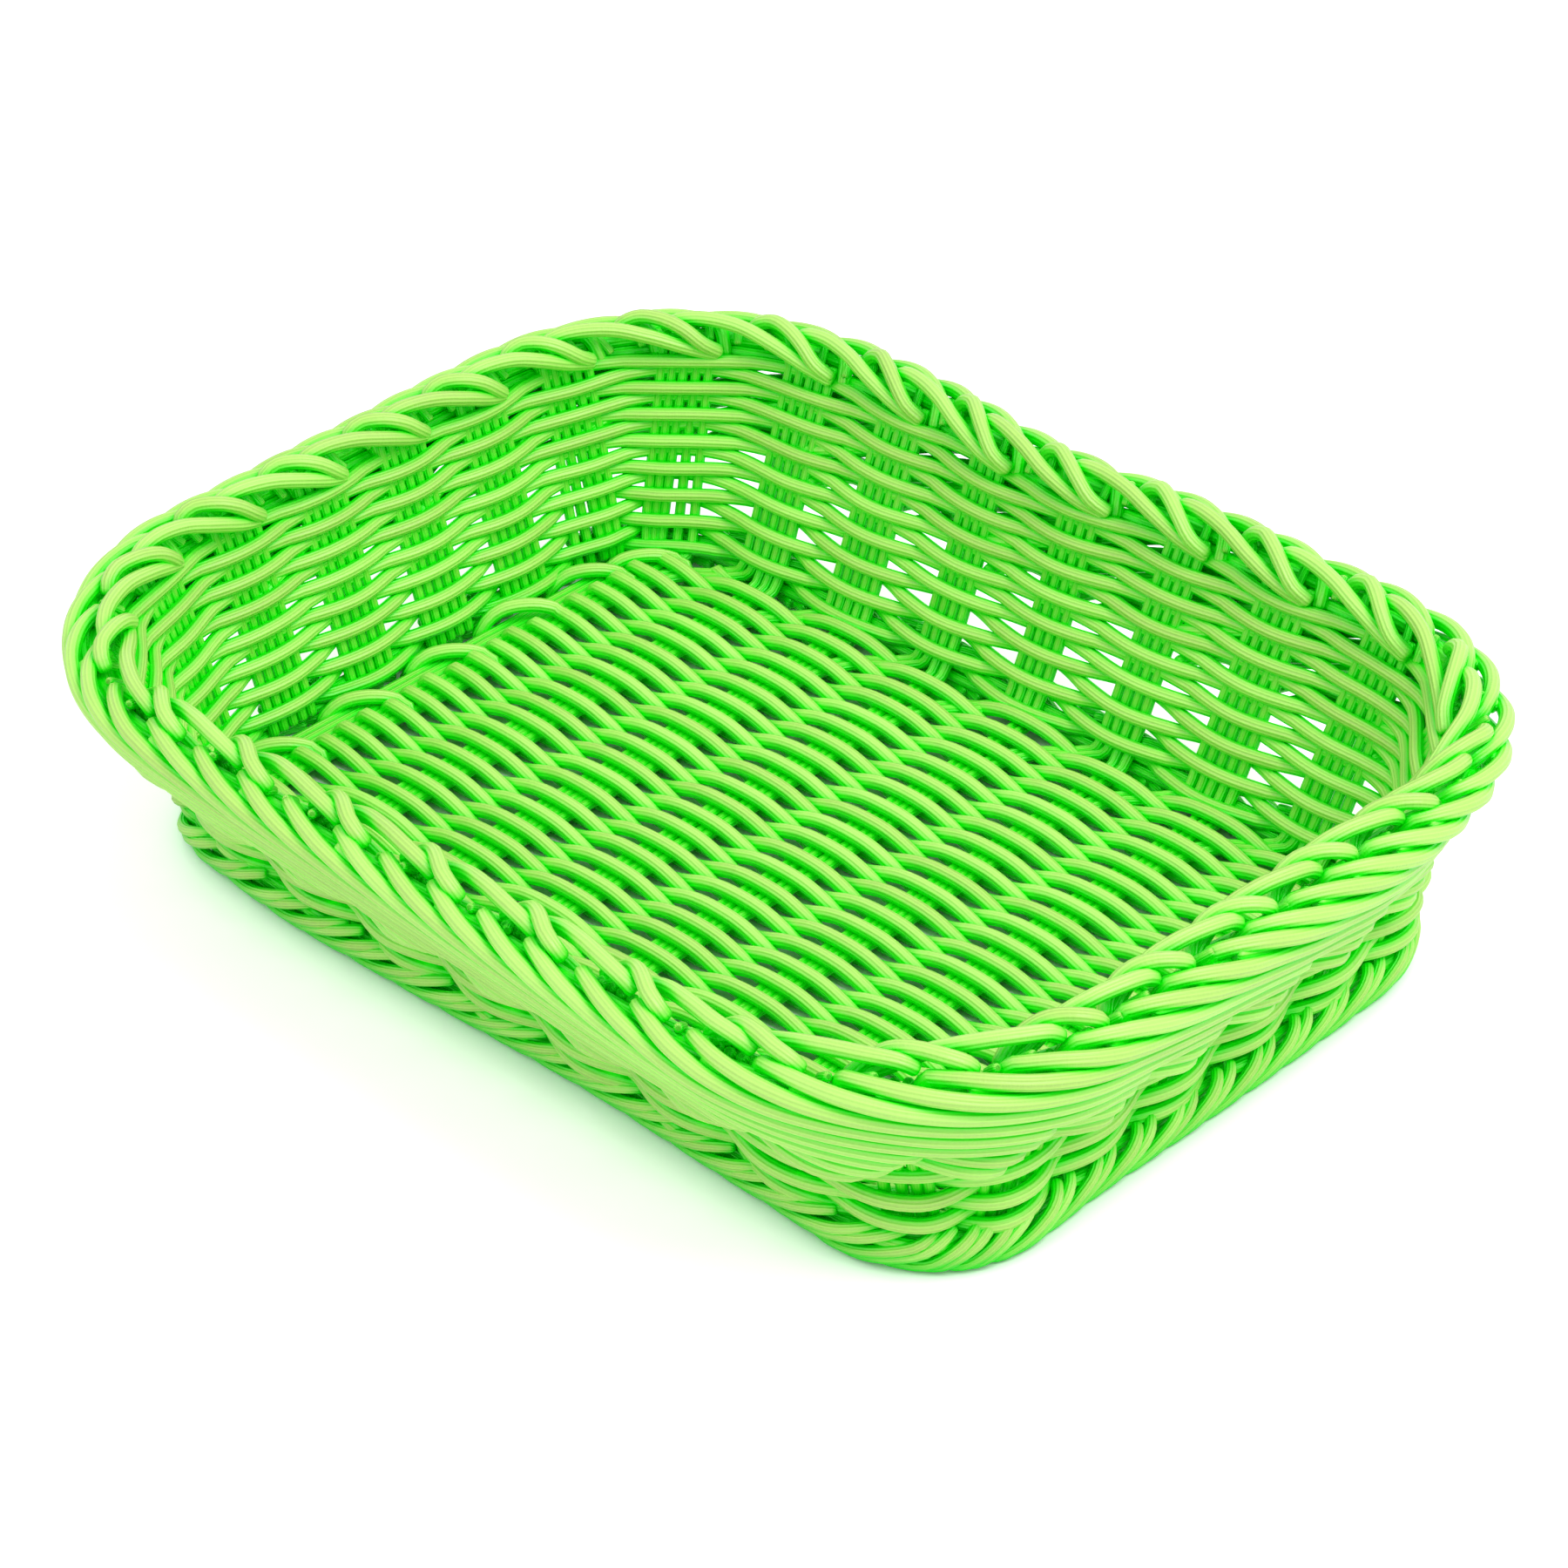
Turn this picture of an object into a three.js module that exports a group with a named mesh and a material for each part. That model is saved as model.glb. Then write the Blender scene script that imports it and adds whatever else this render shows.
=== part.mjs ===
// A rectangular basket woven from round polypropylene strands.
// Millimetres, +Z up, +X along the long sides, origin on the table under the middle.
import * as THREE from 'three';

// Overall outline
const height = 86;
const rimLength = 400;
const rimWidth = 315;
const rimCorner = 91;
const rimWidestDrop = 13;
const footLength = 345;
const footWidth = 234;
const footCorner = 42;

// Strands and stake groups
const strandDiameter = 3.7;
const stakeGroupWidth = 11;
const stakeGroupCrown = 4.4;
const stakeGroupThickness = 2.2;
const clearance = 0.3;

// Stakes: crossing ones run from rim to rim under the floor, end ones stand in the short walls
const crossStakeCount = 9;
const crossCornerTurn = 42;
const endStakeCount = 6;
const endCornerTurn = 16;
const stakeBend = 1.3;

// Weave
const floorRise = 0.5;
const floorRowGap = 0.95;
const courseGap = 0.45;

// Rim and foot borders
const braidHeight = 14;
const braidInnerReach = 8.5;
const braidCrownReach = 1;
const braidRibs = 5;
const bandDrop = 4;
const bandDepth = 38;
const bandOverhang = 15;
const bandLowerThickness = 3.6;
const bandTopReach = 9;
const bandRibs = 8;
const footBorderHeight = 17.5;
const footOverhang = 10;
const footInnerReach = 1;
const footChamfer = 1.4;
const footRibs = 4;
const ribDepth = 1.1;
const grooveOffset = 5;

const rimWidestHeight = height - rimWidestDrop;
const strandRadius = strandDiameter / 2;
const stakeHalfWidth = stakeGroupWidth / 2;
const stakeHalfCrown = stakeGroupCrown / 2;
const stakeHalfThickness = stakeGroupThickness / 2;

const lime = { color: 0x6ee03c, roughness: 0.42, metalness: 0 };
const deepLime = { color: 0x4fcc22, roughness: 0.46, metalness: 0 };

const basket = new THREE.Group();

// The middle surface of the wall: a rounded rectangle that widens evenly with height
function wallOutline(z) {
  const share = z / rimWidestHeight;
  const mix = (low, high) => low + (high - low) * share;
  const halfLength = mix(footLength / 2 - footOverhang, rimLength / 2 - bandOverhang);
  const halfWidth = mix(footWidth / 2 - footOverhang, rimWidth / 2 - bandOverhang);
  const corner = mix(footCorner - footOverhang, rimCorner - bandOverhang);
  return { halfLength, halfWidth, corner };
}

// A point beside the wall: `reach` is measured outward from the middle surface
function besideWall(station, z, reach) {
  const { halfLength, halfWidth, corner } = wallOutline(z);
  const straight = station.onLongSide ? halfLength - corner : halfWidth - corner;
  const across = station.onLongSide ? halfWidth - corner : halfLength - corner;
  const along = station.along(z);
  const past = Math.max(Math.abs(along) - straight, 0);
  const turn = Math.asin(Math.min(past / corner, 1)) * Math.sign(along);
  const alongPoint = along - Math.sign(along) * past + (corner + reach) * Math.sin(turn);
  const acrossPoint = station.side * (across + (corner + reach) * Math.cos(turn));
  return station.onLongSide
    ? new THREE.Vector3(alongPoint, acrossPoint, z)
    : new THREE.Vector3(acrossPoint, alongPoint, z);
}

function outwardAt(station, z) {
  return besideWall(station, z, 1).sub(besideWall(station, z, 0)).normalize();
}

// Every stake stands at a station; they are listed anticlockwise seen from above. The outermost
// stakes of a wall stand in its corners, turned by a set angle, and the others share the wall
const crossReach = (crossStakeCount - 1) / 2;
const endReach = (endStakeCount - 1) / 2;

function pastStraight(corner, turn) {
  return corner * Math.sin(THREE.MathUtils.degToRad(turn));
}

function crossPitch(z) {
  const { halfLength, corner } = wallOutline(z);
  return (halfLength - corner + pastStraight(corner, crossCornerTurn)) / crossReach;
}

function endPitch(z) {
  const { halfWidth, corner } = wallOutline(z);
  return (halfWidth - corner + pastStraight(corner, endCornerTurn)) / endReach;
}

function crossStation(step, side) {
  return { onLongSide: true, side, along: (z) => step * crossPitch(z) };
}

function endStation(step, side) {
  return { onLongSide: false, side, along: (z) => step * endPitch(z) };
}

const stations = [];
for (let i = 0; i < crossStakeCount; i += 1) stations.push(crossStation(i - crossReach, -1));
for (let i = 0; i < endStakeCount; i += 1) stations.push(endStation(i - endReach, 1));
for (let i = 0; i < crossStakeCount; i += 1) stations.push(crossStation(crossReach - i, 1));
for (let i = 0; i < endStakeCount; i += 1) stations.push(endStation(endReach - i, -1));

// A point beside the wall halfway between two neighbouring stations
function besideGap(from, to, z, reach) {
  if (from.onLongSide === to.onLongSide && from.side === to.side) {
    const between = { ...from, along: (h) => (from.along(h) + to.along(h)) / 2 };
    return besideWall(between, z, reach);
  }
  const { halfLength, halfWidth, corner } = wallOutline(z);
  const middle = besideWall(from, z, 0).add(besideWall(to, z, 0)).multiplyScalar(0.5);
  const centre = new THREE.Vector3(
    Math.sign(middle.x) * (halfLength - corner),
    Math.sign(middle.y) * (halfWidth - corner),
    z,
  );
  return centre.clone().addScaledVector(middle.sub(centre).normalize(), corner + reach);
}

// The places where strands bend round the wall: each station and the gap after it
const bends = stations.flatMap((station, i) => {
  const next = stations[(i + 1) % stations.length];
  return [
    (z, reach) => besideWall(station, z, reach),
    (z, reach) => besideGap(station, next, z, reach),
  ];
});

// How far a weaver's middle passes from the middle of a stake group, so that it clears the
// group's crown and its edges on the straight run to the next group
function weaverReach(spacing, turn) {
  const spots = [
    { along: 0, thickness: stakeHalfThickness },
    { along: stakeHalfCrown, thickness: stakeHalfThickness },
    { along: stakeHalfWidth, thickness: 0 },
  ];
  const needs = spots.map(({ along, thickness }) => {
    const fall = along * Math.tan(Math.max(turn, 0));
    return (strandRadius + clearance + thickness + fall) / (1 - (2 * along) / spacing);
  });
  return Math.max(...needs);
}

// Outside a corner the run to the gap turns inward; inside it turns away
function courseReach(index, z, outside) {
  const here = besideWall(stations[index], z, 0);
  const outward = outwardAt(stations[index], z);
  const reaches = [-1, 1].map((step) => {
    const gap = bends[(2 * index + step + bends.length) % bends.length];
    const run = gap(z, 0).sub(here);
    const turn = Math.asin(-run.dot(outward) / run.length());
    return weaverReach(2 * run.length(), outside ? turn : 0);
  });
  return Math.max(...reaches);
}

// A closed skin through sections of equal size; `strip` lists the triangles between two of them
function skin(sections, closed, strip) {
  const size = sections[0].length;
  const positions = sections.flat().flatMap((point) => [point.x, point.y, point.z]);
  const faces = [];
  const last = closed ? sections.length : sections.length - 1;
  for (let i = 0; i < last; i += 1) {
    const here = i * size;
    const next = ((i + 1) % sections.length) * size;
    for (const corners of strip(size)) {
      faces.push(corners.map(([onNext, point]) => (onNext ? next : here) + point));
    }
  }
  if (!closed) {
    const end = (sections.length - 1) * size;
    for (let i = 1; i < size - 1; i += 1) {
      faces.push([0, i + 1, i]);
      faces.push([end, end + i, end + i + 1]);
    }
  }
  return facesOutward(positions, faces);
}

function facesOutward(positions, faces) {
  const at = (i) => new THREE.Vector3(...positions.slice(3 * i, 3 * i + 3));
  let volume = 0;
  for (const [a, b, c] of faces) volume += at(a).dot(at(b).cross(at(c)));
  const turned = volume < 0 ? faces.map(([a, b, c]) => [a, c, b]) : faces;
  const geometry = new THREE.BufferGeometry();
  geometry.setAttribute('position', new THREE.Float32BufferAttribute(positions, 3));
  geometry.setIndex(turned.flat());
  geometry.computeVertexNormals();
  return geometry;
}

// Plain strip: each point joins the same point of the next section
function plainStrip(size) {
  const triangles = [];
  for (let i = 0; i < size; i += 1) {
    const j = (i + 1) % size;
    triangles.push([[0, i], [0, j], [1, j]]);
    triangles.push([[0, i], [1, j], [1, i]]);
  }
  return triangles;
}

// Laid strip: each rib moves on by one place per section, so strands start at the first edge
// point, run slantwise over the face and tuck under at the last edge point
function laidStrip(ribs) {
  const lastEdge = 2 * ribs + 1;
  return (size) => {
    const triangles = [];
    triangles.push([[0, 0], [1, 1], [1, 0]]);
    triangles.push([[0, 0], [1, 2], [1, 1]]);
    for (let i = 0; i < lastEdge - 2; i += 1) {
      triangles.push([[0, i], [0, i + 1], [1, i + 3]]);
      triangles.push([[0, i], [1, i + 3], [1, i + 2]]);
    }
    triangles.push([[0, lastEdge - 2], [0, lastEdge - 1], [1, lastEdge]]);
    triangles.push([[0, lastEdge - 1], [0, lastEdge], [1, lastEdge]]);
    for (let i = lastEdge; i < size; i += 1) {
      const j = (i + 1) % size;
      triangles.push([[0, i], [0, j], [1, j]]);
      triangles.push([[0, i], [1, j], [1, i]]);
    }
    return triangles;
  };
}

// Four-sided strand along a path that never runs straight up
function strandGeometry(path, closed) {
  const up = new THREE.Vector3(0, 0, 1);
  const sections = path.map((point, i) => {
    const before = path[closed ? (i + path.length - 1) % path.length : Math.max(i - 1, 0)];
    const after = path[closed ? (i + 1) % path.length : Math.min(i + 1, path.length - 1)];
    const run = after.clone().sub(before).normalize();
    const side = run.clone().cross(up).normalize();
    const lift = side.clone().cross(run);
    return [[1, 0], [0, 1], [-1, 0], [0, -1]].map(([s, l]) => point.clone()
      .addScaledVector(side, s * strandRadius)
      .addScaledVector(lift, l * strandRadius));
  });
  return skin(sections, closed, plainStrip);
}

// A stake group seen end on: flat crown, thinning to its two edges
function stakeSection(centre, widthways, outward) {
  const corners = [
    [stakeHalfWidth, 0], [stakeHalfCrown, stakeHalfThickness],
    [-stakeHalfCrown, stakeHalfThickness], [-stakeHalfWidth, 0],
    [-stakeHalfCrown, -stakeHalfThickness], [stakeHalfCrown, -stakeHalfThickness],
  ];
  return corners.map(([w, t]) => centre.clone()
    .addScaledVector(widthways, w)
    .addScaledVector(outward, t));
}

function addPiece(name, geometry, finish) {
  const mesh = new THREE.Mesh(geometry, new THREE.MeshStandardMaterial(finish));
  mesh.name = name;
  basket.add(mesh);
}

function numbered(name, index) {
  return `${name}_${String(index + 1).padStart(2, '0')}`;
}

// Heights of the floor and of the wall's courses
const crossPitchOnFloor = crossPitch(0);
const floorReach = weaverReach(crossPitchOnFloor, 0);
const floorMiddle = floorRise + floorReach + strandRadius;
const footLegTop = floorMiddle - stakeHalfThickness - clearance;
const firstCourse = floorMiddle + stakeHalfThickness + 2 * clearance + strandRadius;
const lastCourseLimit = height - braidHeight - clearance - strandRadius;
const leastCourseRise = strandDiameter + courseGap;
const courseCount = Math.floor((lastCourseLimit - firstCourse) / leastCourseRise) + 1;
const courseRise = (lastCourseLimit - firstCourse) / (courseCount - 1);
const stakeTop = lastCourseLimit + strandRadius;

// Wall courses: each weaver passes inside one stake group and outside the next, and crosses
// the middle of the wall in the gap between them
let outsideReach = 0;
let insideReach = 0;
for (let course = 0; course < courseCount; course += 1) {
  const z = firstCourse + course * courseRise;
  const path = bends.map((bend, i) => {
    if (i % 2 === 1) return bend(z, 0);
    const outside = (i / 2 + course) % 2 === 0;
    const reach = courseReach(i / 2, z, outside);
    if (outside) outsideReach = Math.max(outsideReach, reach);
    else insideReach = Math.max(insideReach, reach);
    return bend(z, outside ? reach : -reach);
  });
  addPiece(numbered('wall_weaver', course), strandGeometry(path, true), lime);
}

// Crossing stakes: down one long wall, flat under the floor's weavers, up the other
function crossStakeSections(step, side) {
  const station = crossStation(step, side);
  const up = new THREE.Vector3(0, 0, 1);
  const widthwaysAt = (outward) => new THREE.Vector3(-side * outward.y, side * outward.x, 0);
  const foot = floorMiddle + stakeBend;
  const wallPart = [stakeTop, (stakeTop + foot) / 2, foot].map((z) => {
    const outward = outwardAt(station, z);
    const centre = besideWall(station, z, 0);
    return stakeSection(centre, widthwaysAt(outward), outward.clone().negate());
  });
  const bend = besideWall(station, floorMiddle, -stakeBend);
  const inner = bend.clone();
  inner.x = step * crossPitchOnFloor;
  inner.y -= side * (Math.abs(bend.x - inner.x) + stakeGroupWidth);
  return [
    ...wallPart,
    stakeSection(bend, widthwaysAt(outwardAt(station, floorMiddle)), up),
    stakeSection(inner, new THREE.Vector3(-1, 0, 0), up),
  ];
}

function crossStakeGeometry(step) {
  const nearHalf = crossStakeSections(step, -1);
  const farHalf = crossStakeSections(step, 1).reverse();
  return skin([...nearHalf, ...farHalf], false, plainStrip);
}

for (let i = 0; i < crossStakeCount; i += 1) {
  addPiece(numbered('cross_stake', i), crossStakeGeometry(i - crossReach), deepLime);
}

// End stakes stand on the foot border's leg and reach up under the rim's braid
function endStakeGeometry(step, side) {
  const station = endStation(step, side);
  const sections = [footLegTop + clearance, stakeTop].map((z) => {
    const outward = outwardAt(station, z);
    const widthways = new THREE.Vector3(-outward.y, outward.x, 0);
    return stakeSection(besideWall(station, z, 0), widthways, outward);
  });
  return skin(sections, false, plainStrip);
}

for (let i = 0; i < endStakeCount; i += 1) {
  addPiece(numbered('right_stake', i), endStakeGeometry(i - endReach, 1), deepLime);
  addPiece(numbered('left_stake', i), endStakeGeometry(endReach - i, -1), deepLime);
}

// Floor weaver: one strand going back and forth over and under the crossing stakes. Its rows
// turn round the outermost stake, and near the corners, where that stake rises and the lowest
// course closes in, they turn beside it
const firstCourseOutline = wallOutline(firstCourse);
const floorInset = insideReach + strandRadius + clearance + strandRadius;
const rowPitch = strandDiameter + floorRowGap;
const rowCount = 2 * Math.floor((firstCourseOutline.halfWidth - floorInset) / rowPitch + 0.5);
const outermostStake = crossReach * crossPitchOnFloor;

function lastStakeAtRow(y) {
  const bend = besideWall(crossStation(crossReach, 1), floorMiddle, -stakeBend);
  const liesFlat = Math.abs(y) + strandRadius + clearance < bend.y - stakeGroupWidth;
  const { halfWidth, corner } = firstCourseOutline;
  const besideStraightCourse = Math.abs(y) < halfWidth - corner;
  return liesFlat && besideStraightCourse ? crossReach : crossReach - 1;
}

// How far out a strand's middle may lie at a row near the corner
function cornerRowReach(y) {
  const { halfLength, halfWidth, corner } = firstCourseOutline;
  const radius = corner - floorInset;
  const past = Math.max(Math.abs(y) - (halfWidth - corner), 0);
  const besideCourse = halfLength - corner + Math.sqrt(Math.max(radius ** 2 - past ** 2, 0));
  const besideStake = outermostStake - stakeHalfWidth - clearance - strandRadius;
  return Math.min(besideCourse, besideStake);
}

// The turn keeps its clearance to the stake's edge on the slope from the shoulder to the turn
function turnBeyondEdge() {
  const spare = strandRadius + clearance;
  return (spare * floorReach) / Math.sqrt(floorReach ** 2 - spare ** 2);
}

function floorWeaverPath() {
  const path = [];
  for (let row = 0; row < rowCount; row += 1) {
    const y = (row - (rowCount - 1) / 2) * rowPitch;
    const direction = row % 2 === 0 ? 1 : -1;
    const shared = (other) => Math.min(lastStakeAtRow(y), lastStakeAtRow(y + other * rowPitch));
    const from = row === 0 ? lastStakeAtRow(y) : shared(-1);
    const to = row === rowCount - 1 ? lastStakeAtRow(y) : shared(1);
    const addPoint = (x, z) => path.push(new THREE.Vector3(direction * x, y, z));
    const heightAt = (stake) => {
      const over = (stake + row) % 2 === 0 ? 1 : -1;
      return floorMiddle + over * floorReach;
    };
    const cornerTurn = (other) => {
      const outer = Math.max(Math.abs(y), Math.abs(y + other * rowPitch));
      return cornerRowReach(outer);
    };
    const addEnd = (stake, other) => {
      const sign = Math.sign(stake);
      const points = [[stake * crossPitchOnFloor + sign * stakeHalfWidth, heightAt(stake)]];
      const hasTurn = row + other >= 0 && row + other < rowCount;
      if (hasTurn && Math.abs(stake) < crossReach) {
        points.push([sign * (cornerTurn(other) - rowPitch / 2), floorMiddle]);
      }
      if (sign < 0) points.reverse();
      for (const [x, z] of points) addPoint(x, z);
    };
    addEnd(-from, -1);
    for (let stake = -from; stake <= to; stake += 1) {
      addPoint(stake * crossPitchOnFloor, heightAt(stake));
    }
    addEnd(to, 1);
    if (row < rowCount - 1) {
      const hugging = outermostStake + stakeHalfWidth + turnBeyondEdge();
      const x = to < crossReach ? cornerTurn(1) : hugging;
      path.push(new THREE.Vector3(direction * x, y + rowPitch / 2, floorMiddle));
    }
  }
  return path;
}

addPiece('floor_weaver', strandGeometry(floorWeaverPath(), false), lime);

// Borders: rings of ribs laid slantwise, two strands to each stake group. Ribs along a smooth face given by `face(t)`, which returns reach, height and outward slope
function ribbedFace(face, ribs) {
  const points = [face(0)];
  for (let i = 1; i <= 2 * ribs; i += 1) {
    const { reach, z, lean, rise } = face((i - 0.5) / (2 * ribs));
    const lift = i % 2 === 1 ? 0 : -ribDepth;
    points.push({ reach: reach + lean * lift, z: z + rise * lift });
  }
  points.push(face(1));
  return points;
}

// The strands descend the way round that `order` lists the bends
function addBorder(name, face, ribs, back, order) {
  const outline = [...ribbedFace(face, ribs), ...back];
  const sections = order.map((bend) => outline.map(({ reach, z }) => bend(z, reach)));
  addPiece(name, skin(sections, true, laidStrip(ribs)), lime);
}

// A smooth curve through control points, with its outward normal in the section's plane
function smoothFace(points) {
  const curve = new THREE.SplineCurve(points.map(([reach, z]) => new THREE.Vector2(reach, z)));
  return (t) => {
    const spot = curve.getPointAt(t);
    const tangent = curve.getTangentAt(t);
    return { reach: spot.x, z: spot.y, lean: -tangent.y, rise: tangent.x };
  };
}

// Outer band: rolls over beside the braid and down the outside of the wall
const outsideFace = outsideReach + strandRadius + clearance;
const bandTop = height - bandDrop;
const bandTopInner = grooveOffset + clearance;
const bandBottom = bandTop - bandDepth;
const bandBottomReach = outsideFace + bandLowerThickness;
addBorder(
  'rim_outer_band',
  smoothFace([
    [bandTopInner, bandTop - ribDepth],
    [bandTopReach, bandTop],
    [bandOverhang, rimWidestHeight],
    [(bandOverhang + bandBottomReach) / 2, (rimWidestHeight + bandBottom) / 2],
    [bandBottomReach, bandBottom],
  ]),
  bandRibs,
  [
    { reach: outsideFace, z: bandBottom },
    { reach: outsideFace, z: stakeTop + clearance },
    { reach: bandTopInner, z: stakeTop + clearance },
  ],
  bends,
);

// Inner braid: covers the stake tops and rolls over into the groove beside the band
const braidBottom = stakeTop + clearance;
addBorder(
  'rim_inner_braid',
  smoothFace([
    [-(braidInnerReach + braidCrownReach) / 2, braidBottom],
    [-braidInnerReach, (braidBottom + height) / 2],
    [-braidCrownReach, height],
    [grooveOffset, height - braidHeight / 2],
  ]),
  braidRibs,
  [{ reach: grooveOffset, z: braidBottom }],
  bends,
);

// Foot border: a flat leg under the wall and ribs up its outside, laid against the rim's
addBorder(
  'foot_border',
  smoothFace([
    [outsideFace + footChamfer, footBorderHeight],
    [footOverhang, footBorderHeight / 2],
    [footOverhang, footChamfer],
  ]),
  footRibs,
  [
    { reach: footOverhang - footChamfer, z: 0 },
    { reach: -footInnerReach, z: 0 },
    { reach: -footInnerReach, z: footLegTop },
    { reach: outsideFace, z: footLegTop },
    { reach: outsideFace, z: footBorderHeight - footChamfer },
  ],
  bends.toReversed(),
);

export default basket;
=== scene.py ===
"""Rectangular basket, hand woven from round lime green plastic strands, drawn strand by strand."""
import math
import random

import bpy
import numpy as np
from mathutils import Matrix, Vector


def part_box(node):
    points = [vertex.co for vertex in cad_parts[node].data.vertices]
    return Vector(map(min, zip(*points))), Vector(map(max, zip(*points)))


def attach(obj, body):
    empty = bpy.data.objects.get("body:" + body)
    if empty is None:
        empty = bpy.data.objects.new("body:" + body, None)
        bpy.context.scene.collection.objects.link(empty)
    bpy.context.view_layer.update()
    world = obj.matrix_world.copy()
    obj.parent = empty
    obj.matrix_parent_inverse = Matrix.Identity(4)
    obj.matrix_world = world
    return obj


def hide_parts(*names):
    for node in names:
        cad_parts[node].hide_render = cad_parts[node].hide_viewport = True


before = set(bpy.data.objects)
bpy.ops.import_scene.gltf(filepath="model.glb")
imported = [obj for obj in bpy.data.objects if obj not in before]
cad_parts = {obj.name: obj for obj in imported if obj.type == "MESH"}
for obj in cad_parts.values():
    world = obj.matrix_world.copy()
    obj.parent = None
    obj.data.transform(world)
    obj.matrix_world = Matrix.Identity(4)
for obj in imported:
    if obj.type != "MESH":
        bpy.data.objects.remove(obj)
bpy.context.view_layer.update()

bl_info = {
    "name": "Woven Plastic Basket",
    "version": (1, 0, 0),
    "blender": (4, 5, 0),
    "location": "3D View > Sidebar > Basket",
    "description": "Weaves a rectangular basket strand by strand around its packed solids",
    "category": "Object",
}

# The wall's middle surface, in metres: a rounded rectangle that widens evenly with height
HALF_LENGTH_LOW, HALF_LENGTH_HIGH = 0.1625, 0.185
HALF_WIDTH_LOW, HALF_WIDTH_HIGH = 0.107, 0.1425
CORNER_LOW, CORNER_HIGH = 0.030, 0.076
WIDEST_HEIGHT = 0.073

CROSS_GROUPS = 9
END_GROUPS = 6
GROUPS = 2 * (CROSS_GROUPS + END_GROUPS)
COURSES = 15
FLOOR_ROWS = 46

NEAR_MIDDLE_TURN = (CROSS_GROUPS - 1) // 2

# How far round the corner the last groups of a long wall and of a short wall stand, in degrees
CROSS_CORNER_TURN = 42
END_CORNER_TURN = 16

# Each kind of piece takes its random draws from its own number
SEEDS = {"wall": 100, "cross_stake": 300, "end_stake": 400, "floor": 500,
         "band": 600, "braid": 700, "cut_end": 710, "foot": 800}


def middle_height(node):
    low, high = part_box(node)
    return (low[2] + high[2]) / 2


class BasketSizes(bpy.types.PropertyGroup):
    """Sizes of the strands and of the weave"""
    weaver_thickness: bpy.props.FloatProperty(
        name="Weaver thickness", description="Diameter of the strands woven round the wall and floor",
        default=0.0048, min=0.001, unit="LENGTH")
    stake_thickness: bpy.props.FloatProperty(
        name="Stake thickness", description="Diameter of the thin strands that stand in groups",
        default=0.0036, min=0.001, unit="LENGTH")
    border_thickness: bpy.props.FloatProperty(
        name="Border thickness", description="Diameter of the strands laid round the rim",
        default=0.0050, min=0.001, unit="LENGTH")
    foot_thickness: bpy.props.FloatProperty(
        name="Foot thickness", description="Diameter of the strands laid round the foot",
        default=0.0037, min=0.001, unit="LENGTH")
    first_course: bpy.props.FloatProperty(
        name="First course", description="Height of the lowest weaver's middle",
        default=middle_height("wall_weaver_01"), unit="LENGTH")
    last_course: bpy.props.FloatProperty(
        name="Last course", description="Height of the highest weaver's middle",
        default=middle_height(f"wall_weaver_{COURSES}"), unit="LENGTH")
    floor_height: bpy.props.FloatProperty(
        name="Floor height", description="Height of the stakes' middle under the floor's weavers",
        default=middle_height("floor_weaver"), unit="LENGTH")
    row_pitch: bpy.props.FloatProperty(
        name="Row pitch", description="Distance between neighbouring rows of the floor",
        default=0.00465, unit="LENGTH")
    weave_depth: bpy.props.FloatProperty(
        name="Weave depth", description="How far a weaver's middle passes from a stake's middle",
        default=0.0031, unit="LENGTH")


class BasketColours(bpy.types.PropertyGroup):
    """Colours of the strands, of the painted shade between them, and of the studio"""
    strand: bpy.props.FloatVectorProperty(
        name="Strand", description="Colour of the weavers and border strands",
        subtype="COLOR", size=3, default=(0.50, 0.88, 0.17), min=0, max=1)
    stake: bpy.props.FloatVectorProperty(
        name="Stake", description="Colour of the thin stake strands",
        subtype="COLOR", size=3, default=(0.34, 0.82, 0.09), min=0, max=1)
    # Painted shade: a deeper green painted where neighbouring strands close in, standing in for shade and light
    # bounced between them
    painted_shade: bpy.props.FloatVectorProperty(
        name="Hollow", description="Deeper green painted between the strands, as painted shade where neighbours close in",
        subtype="COLOR", size=3, default=(0.0, 0.94, 0.0), min=0, max=1)
    floor: bpy.props.FloatVectorProperty(
        name="Studio floor", description="Colour of the surface that the basket stands on",
        subtype="COLOR", size=3, default=(0.95, 0.95, 0.95), min=0, max=1)


def settings(context):
    return context.scene.basket_sizes, context.scene.basket_colours


# Geometry of the wall

def blend(low, high, height):
    """A value that changes evenly from the foot to the widest height of the rim."""
    return low + (high - low) * (np.asarray(height, float) / WIDEST_HEIGHT)


def wall_outline(height):
    half_length = blend(HALF_LENGTH_LOW, HALF_LENGTH_HIGH, height)
    half_width = blend(HALF_WIDTH_LOW, HALF_WIDTH_HIGH, height)
    return half_length, half_width, blend(CORNER_LOW, CORNER_HIGH, height)


def station_travel(height):
    """Distance round the wall to each stake group, anticlockwise from the middle of the near long side."""
    half_length, half_width, corner = (float(v) for v in wall_outline(height))
    straight, end_straight = half_length - corner, half_width - corner
    side_half, end_half = (CROSS_GROUPS - 1) / 2, (END_GROUPS - 1) / 2
    side_step = (straight + corner * math.sin(math.radians(CROSS_CORNER_TURN))) / side_half
    end_step = (end_straight + corner * math.sin(math.radians(END_CORNER_TURN))) / end_half
    quarter = corner * math.pi / 2

    def along(offset, flat):
        past = max(abs(offset) - flat, 0)
        turned = corner * math.asin(min(past / corner, 1))
        return math.copysign(min(abs(offset), flat) + turned, offset)

    near = [along(step * side_step, straight) for step in np.arange(-side_half, side_half + 1)]
    end_middle = straight + quarter + end_straight
    right = [end_middle + along(step * end_step, end_straight) for step in np.arange(-end_half, end_half + 1)]
    half_round = 2 * end_middle
    travel = near + right
    return np.array(travel + [t + half_round for t in travel]), 2 * half_round


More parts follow.
